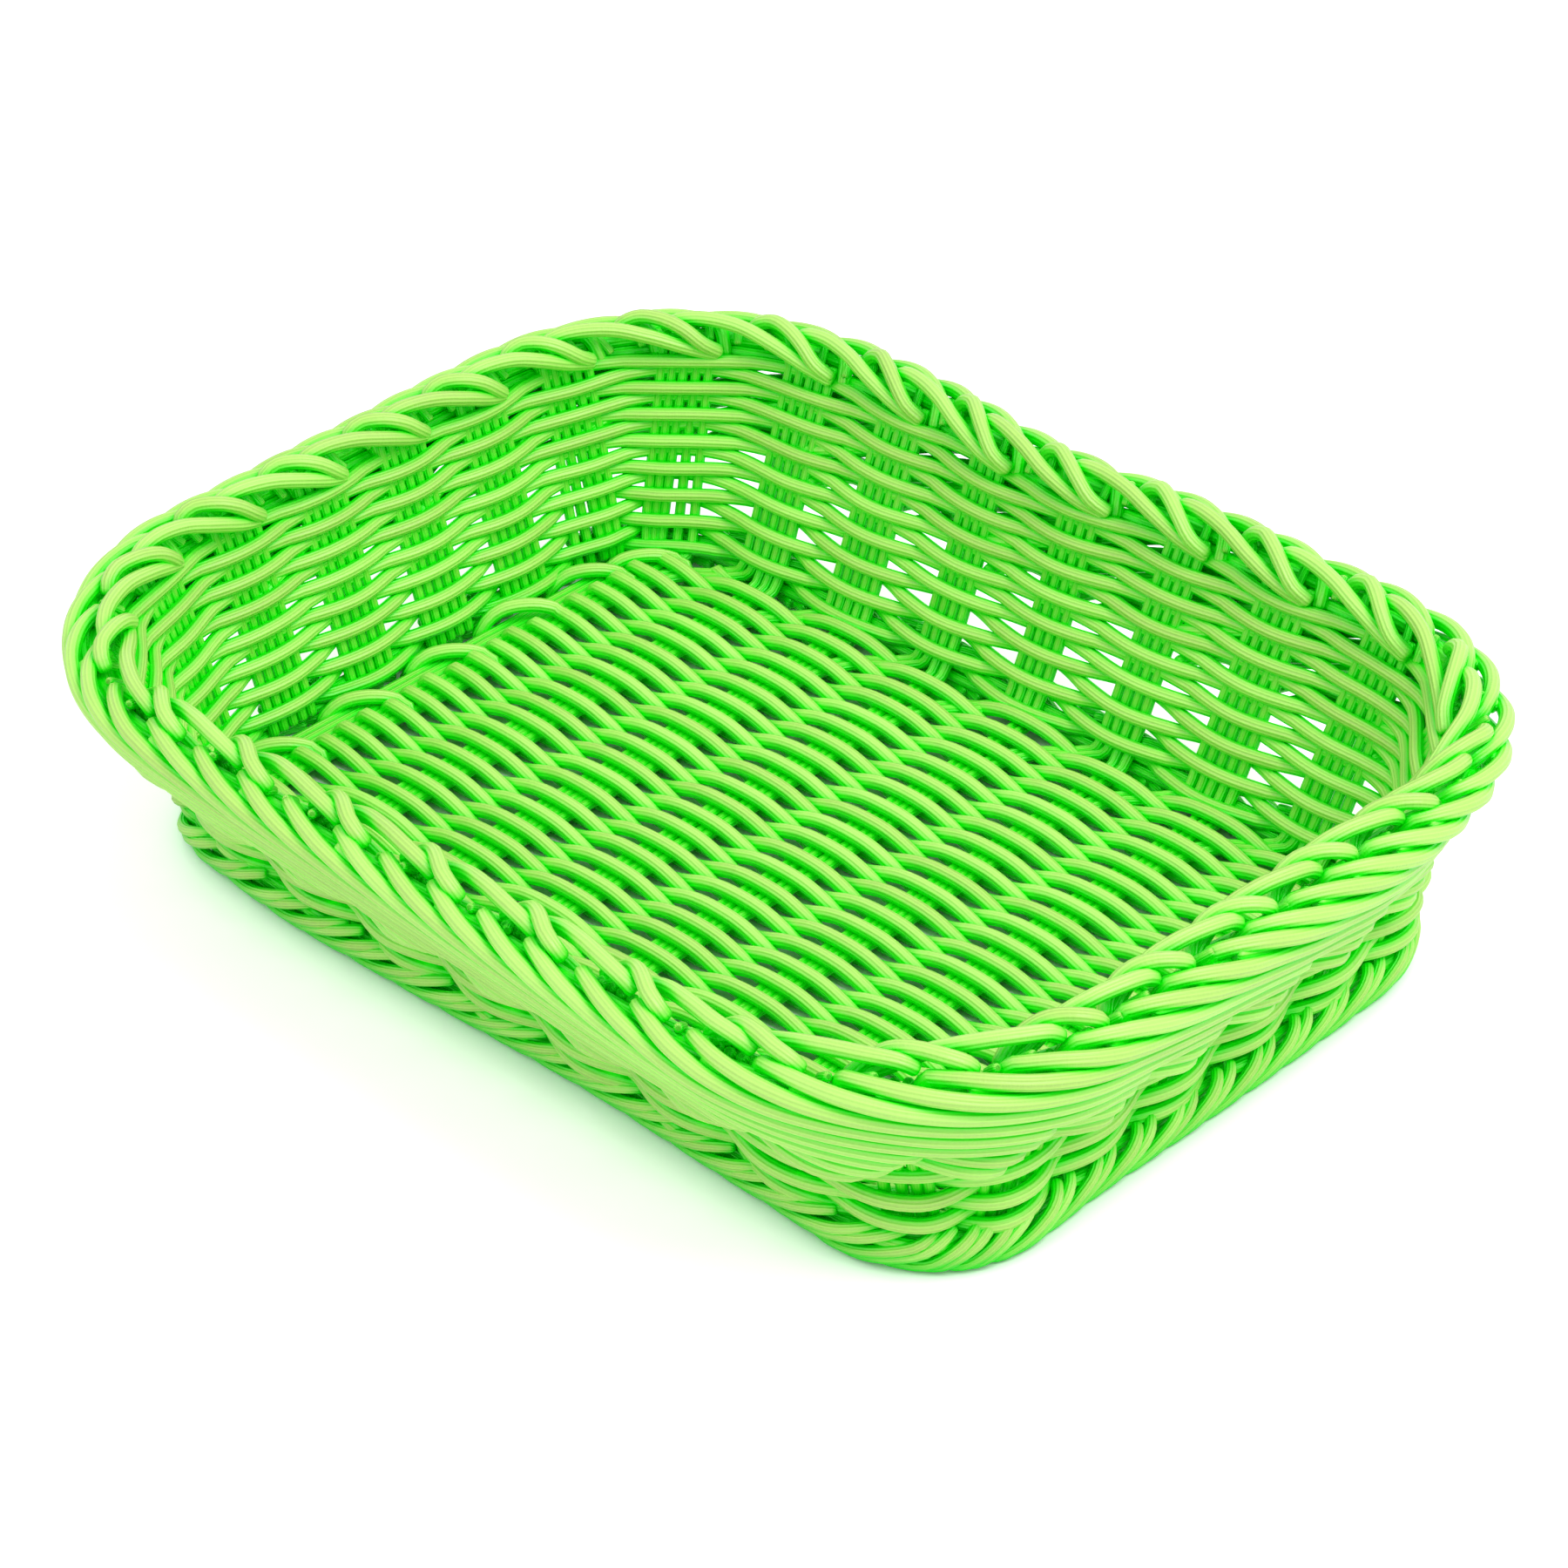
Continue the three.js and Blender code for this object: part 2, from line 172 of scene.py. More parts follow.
TRAVEL_LOW, ROUND_LOW = station_travel(0)
TRAVEL_HIGH, ROUND_HIGH = station_travel(WIDEST_HEIGHT)


def travel_at(turn, height):
    """Distance round the wall at `turn`, which counts stake groups and may have a fraction."""
    turn = np.asarray(turn, float)
    laps = np.floor(turn / GROUPS)
    part = turn - laps * GROUPS
    marks = np.arange(GROUPS + 1)

    def reading(travel, whole):
        return np.interp(part, marks, np.append(travel, travel[0] + whole)) + laps * whole

    return blend(reading(TRAVEL_LOW, ROUND_LOW), reading(TRAVEL_HIGH, ROUND_HIGH), height)


# Woven by hand, the wall is uneven: each dent's middle and half width, by turn, and how far in the wall
# lies there, by height
WALL_DENTS = [
    (8.5, 1.8, [(0, -0.0038), (0.012, -0.0038), (0.025, -0.0022), (0.045, 0), (0.09, 0)]),
    (14.3, 1.8, [(0, 0.0004), (0.012, 0), (0.022, -0.0022), (0.032, 0.0018), (0.045, 0.0062),
                 (0.058, 0.0086), (0.068, 0.0066), (0.075, 0.0010), (0.085, -0.0046)]),
    (19.4, 1.35, [(0, 0), (0.035, 0), (0.06, 0.0028), (0.075, 0.0046)]),
    (21.2, 0.9, [(0, 0), (0.045, 0), (0.075, -0.0010)]),
    (29.9, 2.0, [(0, 0.0040), (0.02, 0.0042), (0.045, 0.0048), (0.06, 0.0036), (0.072, 0.0010), (0.085, 0)]),
]


def wall_dent(turn, height):
    """How far in the dents put the wall at this place."""
    total = 0
    for middle, width, knots in WALL_DENTS:
        away = np.abs((turn - middle + GROUPS / 2) % GROUPS - GROUPS / 2)
        share = np.cos(np.clip(away / width, 0, 1) * np.pi / 2) ** 2
        total = total + share * np.interp(height, *zip(*knots))
    return total


def beside_wall(turn, height, reach):
    """Points `reach` outside the wall's middle surface."""
    turn, height, reach = np.broadcast_arrays(
        np.asarray(turn, float), np.asarray(height, float), np.asarray(reach, float))
    reach = reach - wall_dent(turn, height)
    half_length, half_width, corner = wall_outline(height)
    a, b, q = half_length - corner, half_width - corner, corner * np.pi / 2
    travel = np.mod(travel_at(turn, height), 4 * (a + b + q))

    def part(start, length):
        return np.clip(travel - start, 0, length)

    bend = (part(a, q) + part(a + q + 2 * b, q) + part(3 * a + 2 * q + 2 * b, q)
            + part(3 * a + 3 * q + 4 * b, q)) / corner - np.pi / 2
    x = part(0, a) - part(a + 2 * q + 2 * b, 2 * a) + part(3 * a + 4 * q + 4 * b, a)
    y = -b + part(a + q, 2 * b) - part(3 * a + 3 * q + 2 * b, 2 * b)
    spread = corner + reach
    return np.stack([x + spread * np.cos(bend), y + spread * np.sin(bend), height], -1)


# Strands

def smooth_path(points, step):
    """A smooth open path through control points, with points about `step` apart."""
    points = np.asarray(points, float)
    ends = np.vstack([2 * points[0] - points[1], points, 2 * points[-1] - points[-2]])
    path = []
    for i in range(1, len(ends) - 2):
        p0, p1, p2, p3 = ends[i - 1:i + 3]
        count = max(int(round(np.linalg.norm(p2 - p1) / step)), 1)
        t = np.linspace(0, 1, count, endpoint=False)[:, None]
        path.append(0.5 * (2 * p1 + (p2 - p0) * t + (2 * p0 - 5 * p1 + 4 * p2 - p3) * t ** 2
                           + (3 * p1 - p0 - 3 * p2 + p3) * t ** 3))
    path.append(points[-1:])
    return np.vstack(path)


def smooth_value(knots, at):
    """A smooth value through knots (position, value), read at `at`."""
    x, y = np.array(knots, float).T
    slope = np.gradient(y, x)
    i = np.clip(np.searchsorted(x, at) - 1, 0, len(x) - 2)
    width = x[i + 1] - x[i]
    t = np.clip((at - x[i]) / width, 0, 1)
    return ((2 * t ** 3 - 3 * t ** 2 + 1) * y[i] + (t ** 3 - 2 * t ** 2 + t) * width * slope[i]
            + (3 * t ** 2 - 2 * t ** 3) * y[i + 1] + (t ** 3 - t ** 2) * width * slope[i + 1])


def wander(rng, count, knots, size):
    """A slow random drift of about `size`, the same length as a path."""
    marks = np.linspace(0, count - 1, knots)
    values = [rng.uniform(-size, size) for _ in range(knots)]
    return smooth_value(list(zip(marks, values)), np.arange(count))


# Sides of a strand's round section, and their directions
SIDES = 10
RING = np.arange(SIDES) * 2 * np.pi / SIDES

# A strand's cut end, ring by ring: how far in from the tip it lies and how wide it is, in radii
END_RINGS = ((0.0, 0.5), (0.18, 0.86), (0.55, 1.0))

# A strand that starts closer to upright than this takes its first direction from the X axis
UPRIGHT = 0.2

# Strands start at different places in the grain, up to this many metres along it
GRAIN_SHIFT = 5


def strand(path, thickness, rng, closed=False):
    """One round strand along a path, with its own tone and its own place in the grain."""
    return {"path": np.asarray(path, float), "radius": thickness / 2, "closed": closed,
            "tone": rng.random(), "grain": rng.uniform(0, GRAIN_SHIFT)}


def carried_frames(path, closed):
    """Directions across the strand, carried along it without twisting."""
    count = len(path)
    if closed:
        tangent = np.roll(path, -1, 0) - np.roll(path, 1, 0)
    else:
        tangent = np.gradient(path, axis=0)
    tangent /= np.linalg.norm(tangent, axis=1)[:, None]
    across = np.cross(tangent[0], (0, 0, 1.0))
    if np.linalg.norm(across) < UPRIGHT:
        across = np.cross(tangent[0], (1.0, 0, 0))
    across /= np.linalg.norm(across)
    frames = np.empty((count, 3))
    frames[0] = across
    for i in range(1, count):
        t = tangent[i]
        across = across - t * (across[0] * t[0] + across[1] * t[1] + across[2] * t[2])
        across = across / math.sqrt(across[0] ** 2 + across[1] ** 2 + across[2] ** 2)
        frames[i] = across
    second = np.cross(tangent, frames)
    if closed:
        last = frames[-1] - tangent[0] * frames[-1].dot(tangent[0])
        last /= np.linalg.norm(last)
        twist = math.atan2(last.dot(second[0]), last.dot(frames[0]))
        angle = -twist * np.arange(count) / count
        c, s = np.cos(angle)[:, None], np.sin(angle)[:, None]
        frames, second = frames * c + second * s, second * c - frames * s
    return tangent, frames, second


def strand_skin(item):
    """Vertices, faces and surface coordinates of one strand."""
    path, radius, closed = item["path"], item["radius"], item["closed"]
    tangent, across, second = carried_frames(path, closed)
    radii = np.full(len(path), radius)
    if not closed:
        insets, widths = np.array(END_RINGS).T
        insets, widths = insets[:, None], radius * widths
        path = np.vstack([path[0] + tangent[0] * radius * insets, path[1:-1],
                          path[-1] - tangent[-1] * radius * insets[::-1]])
        more = len(END_RINGS) - 1
        across, second = (np.vstack([way[:1]] * more + [way] + [way[-1:]] * more) for way in (across, second))
        radii = np.concatenate([widths, radii[1:-1], widths[::-1]])
    count = len(path)
    ring = (across[:, None] * np.cos(RING)[None, :, None] + second[:, None] * np.sin(RING)[None, :, None])
    points = (path[:, None] + ring * radii[:, None, None]).reshape(-1, 3)
    steps = np.linalg.norm(np.diff(path, axis=0), axis=1)
    run = np.concatenate([[0], np.cumsum(steps)]) + item["grain"]
    rows = count if closed else count - 1
    i = np.repeat(np.arange(rows), SIDES)
    j = np.tile(np.arange(SIDES), rows)
    k = (j + 1) % SIDES
    n = (i + 1) % count
    quads = np.stack([i * SIDES + j, i * SIDES + k, n * SIDES + k, n * SIDES + j], 1)
    run_next = run[n]
    if closed:
        run_next = np.where(n == 0, run[-1] + np.linalg.norm(path[0] - path[-1]), run_next)
    u0, u1 = j / SIDES, (j + 1) / SIDES
    coordinates = np.stack([
        np.stack([u0, run[i]], 1), np.stack([u1, run[i]], 1),
        np.stack([u1, run_next], 1), np.stack([u0, run_next], 1)], 1)
    return points, quads, coordinates, not closed


def strands_object(name, strands, material):
    """One object holding separate closed strands."""
    points, faces, maps, tones, offset = [], [], [], [], 0
    for item in strands:
        p, quads, coordinates, capped = strand_skin(item)
        points.append(p)
        faces.extend((quads + offset).tolist())
        maps.append(coordinates.reshape(-1, 2))
        if capped:
            faces.append((np.arange(SIDES)[::-1] + offset).tolist())
            faces.append((np.arange(SIDES) + offset + len(p) - SIDES).tolist())
            for spot in (coordinates[0, 0, 1], coordinates[-1, 2, 1]):
                maps.append(np.stack([0.5 + 0.5 * np.cos(RING), np.full(SIDES, spot)], 1))
        tones.append(np.full(len(p), item["tone"]))
        offset += len(p)
    mesh = bpy.data.meshes.new(name)
    mesh.from_pydata(np.vstack(points).tolist(), [], faces)
    layer = mesh.uv_layers.new(name="grain")
    layer.data.foreach_set("uv", np.vstack(maps).astype(np.float32).ravel())
    tone = mesh.attributes.new("tone", "FLOAT", "POINT")
    tone.data.foreach_set("value", np.concatenate(tones).astype(np.float32))
    mesh.polygons.foreach_set("use_smooth", [len(f) == 4 for f in faces])
    mesh.materials.append(material)
    mesh.validate()
    mesh.update()
    piece = bpy.data.objects.new(name, mesh)
    bpy.context.collection.objects.link(piece)
    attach(piece, "root")
    return piece


# Materials

RIDGES = 11
RIDGE_DRIFT = 1.4

# How fast the noises change: round the strand, to a metre along it, and from strand to strand
DRIFT_SCALES = (3.0, 60.0, 40.0)
RIB_SCALES = (4.0, 1400.0, 91.0)

# How much a strand's tone changes its hue, how much the drift counts in its value, and how much the relief does, as
# painted shade: darker in the grooves and lighter on the ridges
TONE_HUE = 0.06
CLOUD_SHARE = 0.5
RELIEF_PAINTED_SHADE = 0.12
MIDDLE_VALUE = 0.97

# Painted shade: neighbours nearer than this shade a strand, which is painted its deeper shade colour where less than
# this share is open
PAINTED_SHADE_DISTANCE = 0.013
PAINTED_SHADE_OPENNESS = 0.38

ROUGHNESS, ROUGHNESS_RANGE = 0.27, 0.16
GRAIN_RELIEF = 0.0002
PLASTIC_IOR = 1.49

# Each finish: which of the colours it has, its ridge depth, rib depth and tone range
FINISHES = {
    "weaver_plastic": ("strand", 0.7, 0.6, 0.22),
    "stake_plastic": ("stake", 0.7, 0.5, 0.22),
    "border_plastic": ("strand", 0.7, 0.7, 0.18),
}


def node_links(tree):
    """Short calls that add a node to a tree, with its settings, and link two sockets."""
    def add(kind, **settings):
        node = tree.nodes.new(kind)
        for key, value in settings.items():
            setattr(node, key, value)
        return node
    return add, tree.links.new


def grain_and_painted_shade_group():
    """Fine ridges along the strand and finer ribs across it, how each strand's tone differs, and painted shade:
    darker grooves, lighter ridges and a deeper green between the strands.
    """
    name = "strand_grain_and_painted_shade"
    if name in bpy.data.node_groups:
        return bpy.data.node_groups[name]
    group = bpy.data.node_groups.new(name, "ShaderNodeTree")
    face = group.interface
    for label, kind, value in (("Strand Colour", "Color", (0.4, 0.85, 0.12, 1)),
                               ("Painted Shade Colour", "Color", (0.03, 0.6, 0.0, 1)),
                               ("Tone Range", "Float", 0.25), ("Ridge Depth", "Float", 0.6),
                               ("Rib Depth", "Float", 0.25)):
        socket = face.new_socket(label, in_out="INPUT", socket_type=f"NodeSocket{kind}")
        socket.default_value = value
    for label, kind in (("Colour", "Color"), ("Roughness", "Float"), ("Height", "Float")):
        face.new_socket(label, in_out="OUTPUT", socket_type=f"NodeSocket{kind}")
    add, link = node_links(group)
    inputs, outputs = add("NodeGroupInput"), add("NodeGroupOutput")

    place = add("ShaderNodeUVMap", uv_map="grain")
    parts = add("ShaderNodeSeparateXYZ")
    link(place.outputs["UV"], parts.inputs[0])
    tone = add("ShaderNodeAttribute", attribute_name="tone")

    def maths(kind, first, second=None):
        node = add("ShaderNodeMath", operation=kind)
        for slot, value in enumerate((first, second)):
            if value is None:
                continue
            if hasattr(value, "is_linked"):
                link(value, node.inputs[slot])
            else:
                node.inputs[slot].default_value = value
        return node.outputs[0]

    def noise(scales, detail):
        """Noise over the strand's surface, different on each strand."""
        spot = add("ShaderNodeCombineXYZ")
        for value, scale, axis in zip((parts.outputs["X"], parts.outputs["Y"], tone.outputs["Fac"]), scales, "XYZ"):
            link(maths("MULTIPLY", value, scale), spot.inputs[axis])
        texture = add("ShaderNodeTexNoise")
        texture.inputs["Scale"].default_value = 1.0
        texture.inputs["Detail"].default_value = detail
        link(spot.outputs[0], texture.inputs["Vector"])
        return texture.outputs["Fac"]

    # Ridges: waves round the strand, with a slow drift along it
    drift = noise(DRIFT_SCALES, detail=2.0)
    angle = maths("ADD", maths("MULTIPLY", parts.outputs["X"], 2 * math.pi * RIDGES),
                  maths("MULTIPLY", drift, RIDGE_DRIFT))
    ridges = maths("MULTIPLY", maths("SINE", angle), inputs.outputs["Ridge Depth"])

    # Ribs: fine lines across the strand
    rib_noise = noise(RIB_SCALES, detail=1.0)
    ribs = maths("MULTIPLY", rib_noise, inputs.outputs["Rib Depth"])
    relief = maths("ADD", ridges, ribs)
    link(relief, outputs.inputs["Height"])

    # Tone: each strand is a little lighter or darker, and a little yellower or bluer
    shift = maths("MULTIPLY", maths("SUBTRACT", tone.outputs["Fac"], 0.5), inputs.outputs["Tone Range"])
    cloud = maths("MULTIPLY", maths("SUBTRACT", drift, 0.5), inputs.outputs["Tone Range"])
    shade = add("ShaderNodeHueSaturation")
    link(maths("ADD", maths("MULTIPLY", shift, TONE_HUE), 0.5), shade.inputs["Hue"])
    # Painted shade: the value follows the relief, darker in the grooves and lighter on the ridges
    lines = maths("MULTIPLY", relief, RELIEF_PAINTED_SHADE)
    link(maths("ADD", maths("ADD", shift, maths("MULTIPLY", cloud, CLOUD_SHARE)), maths("ADD", lines, MIDDLE_VALUE)),
         shade.inputs["Value"])
    link(inputs.outputs["Strand Colour"], shade.inputs["Color"])

    # Painted shade: where neighbours close in, the colour is painted a deeper green, standing in for the shade and
    # the light bounced between the strands
    closeness = add("ShaderNodeAmbientOcclusion", samples=8)
    closeness.inputs["Distance"].default_value = PAINTED_SHADE_DISTANCE
    openness = add("ShaderNodeMapRange", interpolation_type="SMOOTHSTEP")
    openness.inputs["From Min"].default_value = PAINTED_SHADE_OPENNESS
    openness.inputs["From Max"].default_value = 1.0
    link(closeness.outputs["AO"], openness.inputs["Value"])
    mix = add("ShaderNodeMix", data_type="RGBA")
    link(openness.outputs["Result"], mix.inputs["Factor"])
    link(inputs.outputs["Painted Shade Colour"], mix.inputs["A"])
    link(shade.outputs["Color"], mix.inputs["B"])
    link(mix.outputs["Result"], outputs.inputs["Colour"])
    link(maths("ADD", maths("MULTIPLY", rib_noise, ROUGHNESS_RANGE), ROUGHNESS), outputs.inputs["Roughness"])
    return group


def strand_material(name, colours):
    """Satin plastic strand, lightly ribbed."""
    if name in bpy.data.materials:
        return bpy.data.materials[name]
    colour, *relief = FINISHES[name]
    material = bpy.data.materials.new(name)
    material.use_nodes = True
    tree = material.node_tree
    add, link = node_links(tree)
    shader = tree.nodes["Principled BSDF"]
    grain = add("ShaderNodeGroup", node_tree=grain_and_painted_shade_group())
    grain.inputs["Strand Colour"].default_value = (*getattr(colours, colour), 1)
    grain.inputs["Painted Shade Colour"].default_value = (*colours.painted_shade, 1)
    for label, value in zip(("Ridge Depth", "Rib Depth", "Tone Range"), relief):
        grain.inputs[label].default_value = value
    bump = add("ShaderNodeBump")
    bump.inputs["Strength"].default_value = 0.8
    bump.inputs["Distance"].default_value = GRAIN_RELIEF
    link(grain.outputs["Height"], bump.inputs["Height"])
    link(grain.outputs["Colour"], shader.inputs["Base Color"])
    link(grain.outputs["Roughness"], shader.inputs["Roughness"])
    link(bump.outputs["Normal"], shader.inputs["Normal"])
    shader.inputs["IOR"].default_value = PLASTIC_IOR
    return material


# Wall

COURSE_POINTS = 420
COURSE_DRIFT = 0.0003

# How much further out the lowest courses pass, over the foot border's tips, and how much closer to the
# wall the band presses the others
LOW_BULGE = [0.0030, 0.0026, 0.0022, 0.0020, 0.0016, -0.0006] + [-0.0018] * (COURSES - 6)

# Places of a group's strands, counted in spacings from the group's middle
GROUP_PLACES = {4: (-1.5, -0.5, 0.5, 1.5), 5: (-2.0, -1.0, 0.0, 1.0, 2.0)}


def course_height(sizes, course):
    return sizes.first_course + (sizes.last_course - sizes.first_course) * course / (COURSES - 1)


def weave(turn, course, depth):
    """Reach of a weaver: outside one group, inside the next."""
    return depth * np.cos(np.pi * (turn - course))


def wall_course(sizes, course):
    """One closed course, which rises and falls a little at each group."""
    rng = random.Random(SEEDS["wall"] + course)
    turn = np.arange(COURSE_POINTS) * GROUPS / COURSE_POINTS
    lift = np.array([rng.uniform(-COURSE_DRIFT, COURSE_DRIFT) for _ in range(GROUPS)])
    group = np.round(turn).astype(int) % GROUPS
    swing = np.cos(np.pi * (turn - np.round(turn))) ** 2
    height = course_height(sizes, course) + lift[group] * swing
    reach = weave(turn, course, sizes.weave_depth)
    reach = reach + LOW_BULGE[course] * np.clip(reach / sizes.weave_depth, 0, 1)
    path = beside_wall(turn, height, reach)
    return strand(path, sizes.weaver_thickness, rng, closed=True)


class BASKET_OT_weave_wall(bpy.types.Operator):
    """Weave the wall's courses, each one strand round the basket"""
    bl_idname = "basket.weave_wall"
    bl_label = "Weave the Wall"

    def execute(self, context):
        sizes, colours = settings(context)
        for course in range(COURSES):
            name = f"wall_weaver_{course + 1:02d}"
            material = strand_material("weaver_plastic", colours)
            piece = strands_object(f"{name}_strand", [wall_course(sizes, course)], material)
            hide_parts(name)
        return {"FINISHED"}


# Stakes

# Under the floor, halves of neighbouring wall groups lie together in these places along X
FLOOR_GROUPS = [-0.146, -0.1075, -0.069, -0.0305, 0.008, 0.0465, 0.085, 0.1235]

# Distance between the strands of a group in the wall and in the floor, and how many of the latter a half
# group moves aside
WALL_SPACING = 0.0040
FLOOR_SPACING = 0.0028
HALF_GROUP_MOVE = 2.2

STAKE_TOP = 0.075
CROSS_HEIGHTS = (STAKE_TOP, 0.060, 0.045, 0.030, 0.018)
END_HEIGHTS = (0.0062, 0.02, 0.035, 0.05, 0.065, STAKE_TOP)
STAKE_STEP = 0.003

# The bend from wall to floor: the height and reach of its top, how far in and up its middle lies and how
# much of the top's place along X it keeps, and how far in it ends, more where the strand goes aslant
BEND_TOP_HEIGHT, BEND_TOP_REACH = 0.009, -0.0012
BEND_MIDDLE_IN, BEND_MIDDLE_LIFT, BEND_MIDDLE_SHARE = 0.0045, 0.0002, 0.72
BEND_END_IN, BEND_END_SLANT = 0.017, 0.5


def wall_turn(group, side):
    """Where a crossing group stands: near long side first, far side opposite it."""
    return group if side < 0 else GROUPS - END_GROUPS - 1 - group


def group_pitch(turn, height):
    """Distance between stake groups at this place of the wall."""
    return travel_at(turn + 0.5, height) - travel_at(turn - 0.5, height)


def side_offset(group, spread, height, side):
    """Fraction of a group's spacing that a distance along the wall is, at this place."""
    return -side * spread / group_pitch(wall_turn(group, side), height)


def cross_strand(sizes, group, place, from_left, rng):
    """One thin strand: down a long wall, across under the floor and up the other long wall."""
    middle = sizes.floor_height
    spread = place * WALL_SPACING
    if from_left:
        x = FLOOR_GROUPS[group - 1] + (place + HALF_GROUP_MOVE) * FLOOR_SPACING
    else:
        x = FLOOR_GROUPS[group] + (place - HALF_GROUP_MOVE) * FLOOR_SPACING

    def spot(height, reach):
        return beside_wall(wall_turn(group, side) + side_offset(group, spread, height, side), height, reach)

    path = []
    for side in (-1, 1):
        top = spot(BEND_TOP_HEIGHT, BEND_TOP_REACH)
        middle_x = top[0] * BEND_MIDDLE_SHARE + x * (1 - BEND_MIDDLE_SHARE)
        inner_y = side * (abs(top[1]) - BEND_END_IN - abs(top[0] - x) * BEND_END_SLANT)
        leg = [spot(height, 0.0) for height in CROSS_HEIGHTS]
        leg += [top, np.array([middle_x, top[1] - side * BEND_MIDDLE_IN, middle + BEND_MIDDLE_LIFT]),
                np.array([x, inner_y, middle])]
        if side < 0:
            path.extend(leg)
        else:
            path.append(np.array([x, 0, middle]))
            path.extend(reversed(leg))
    return strand(smooth_path(path, STAKE_STEP), sizes.stake_thickness, rng)


class BASKET_OT_stand_cross_stakes(bpy.types.Operator):
    """Lay the thin strands that cross under the floor and stand in both long walls"""
    bl_idname = "basket.stand_cross_stakes"
    bl_label = "Stand the Crossing Stakes"

    def execute(self, context):
        sizes, colours = settings(context)
        for group in range(CROSS_GROUPS):
            rng = random.Random(SEEDS["cross_stake"] + group)
            strands = []
            for place in GROUP_PLACES[rng.choice((4, 5, 5))]:
                from_left = group == CROSS_GROUPS - 1 or (place < 0 and group > 0)
                strands.append(cross_strand(sizes, group, place, from_left, rng))
            name = f"cross_stake_{group + 1:02d}"
            piece = strands_object(f"{name}_strands", strands, strand_material("stake_plastic", colours))
            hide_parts(name)
        return {"FINISHED"}


class BASKET_OT_stand_end_stakes(bpy.types.Operator):
    """Stand the thin strands of both short walls"""
    bl_idname = "basket.stand_end_stakes"
    bl_label = "Stand the End Stakes"

    def execute(self, context):
        sizes, colours = settings(context)
        for side, first in (("right", CROSS_GROUPS), ("left", 2 * CROSS_GROUPS + END_GROUPS)):
            for index in range(END_GROUPS):
                turn = first + index
                rng = random.Random(SEEDS["end_stake"] + turn)
                strands = []
                for place in GROUP_PLACES[5]:
                    offset = place * WALL_SPACING / group_pitch(turn, np.array(END_HEIGHTS))
                    path = beside_wall(turn + offset, END_HEIGHTS, 0.0)
                    strands.append(strand(smooth_path(path, STAKE_STEP), sizes.stake_thickness, rng))
                name = f"{side}_stake_{index + 1:02d}"
                piece = strands_object(f"{name}_strands", strands, strand_material("stake_plastic", colours))
                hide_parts(name)
        return {"FINISHED"}


# Floor

# Places along X where the rows rise and dip: the floor's groups, and beyond them at both ends
FLOOR_MARKS = [-0.1845] + FLOOR_GROUPS + [0.1555, 0.19]

# How much deeper the floor's weave is than the wall's, and how flat its waves are on top
FLOOR_DEPTH = 1.2
FLOOR_FLATNESS = 0.3

FLOOR_INSET = 0.0085
FLOOR_STEP = 0.0025
ROW_OVERRUN = 0.001
ROW_DRIFT_KNOTS, ROW_DRIFT = 7, 0.0005

# A floor strand stays this share of its thickness above the table
TABLE_SHARE = 0.55


def floor_height_at(x, row, sizes):
    """Height of a floor weaver: over one stake group, under the next."""
    place = np.interp(x, FLOOR_MARKS, np.arange(len(FLOOR_MARKS)))
    swing = np.cos(np.pi * (place + row))
    wave = swing * (1 + FLOOR_FLATNESS - FLOOR_FLATNESS * swing ** 2)
    return sizes.floor_height + FLOOR_DEPTH * sizes.weave_depth * wave


def floor_end(y, sizes):
    """How far out a floor row reaches before it meets the lowest course."""
    half_length, half_width, corner = (float(v) for v in wall_outline(sizes.first_course))
    past = max(abs(y) - (half_width - corner), 0)
    radius = corner - FLOOR_INSET
    return half_length - corner + math.sqrt(max(radius ** 2 - past ** 2, 0))


# The left ends: most rows dip under the last group, some turn and run past their neighbours' ends, less far
# to the side in the rows nearer than TURN_NARROW_Y
LEFT_END, LEFT_END_DRIFT = -0.1475, 0.0015
TURNED_ROWS = (4, 10, 18, 26, 33, 40, 44)
TURNED_LIFT = 0.0015
TURN_NARROW_Y, TURN_NARROW_SHARE = -0.06, 0.6
TURNED_TAIL = [(-0.0150, -0.0235, -0.0060), (-0.0140, -0.0195, -0.0004), (-0.0120, -0.0150, 0.0026),
               (-0.0085, -0.0098, 0.0036), (-0.0045, -0.0045, 0.0030), (-0.0015, -0.0010, 0.0014)]
DIPPED_TAIL = [(-0.0035, 0.0, -0.0042), (-0.0016, 0.0, -0.0014)]


class BASKET_OT_weave_floor(bpy.types.Operator):
    """Weave the floor's rows over and under the crossing stakes"""
    bl_idname = "basket.weave_floor"
    bl_label = "Weave the Floor"

    def execute(self, context):
        sizes, colours = settings(context)
        rng = random.Random(SEEDS["floor"])
        strands = []
        for row in range(FLOOR_ROWS):
            y = (row - (FLOOR_ROWS - 1) / 2) * sizes.row_pitch
            reach = floor_end(y, sizes)
            left = max(-reach, LEFT_END + rng.uniform(-LEFT_END_DRIFT, LEFT_END_DRIFT))
            x = np.arange(left, reach + ROW_OVERRUN, FLOOR_STEP)
            drift = wander(rng, len(x), ROW_DRIFT_KNOTS, ROW_DRIFT)
            path = np.stack([x, y + drift, floor_height_at(x, row, sizes)], 1)
            tail = DIPPED_TAIL
            if row in TURNED_ROWS:
                path[0, 2] = path[1, 2] = max(path[1, 2], sizes.floor_height + TURNED_LIFT)
                tail = TURNED_TAIL
            tail = path[0] + np.array(tail) * [1, 1 if y > TURN_NARROW_Y else TURN_NARROW_SHARE, 1]
            path = smooth_path(np.vstack([tail, path]), FLOOR_STEP)
            path[:, 2] = np.maximum(path[:, 2], TABLE_SHARE * sizes.weaver_thickness)
            strands.append(strand(path, sizes.weaver_thickness, rng))
        piece = strands_object("floor_weaver_strands", strands, strand_material("weaver_plastic", colours))
        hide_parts("floor_weaver")
        return {"FINISHED"}


# Rim

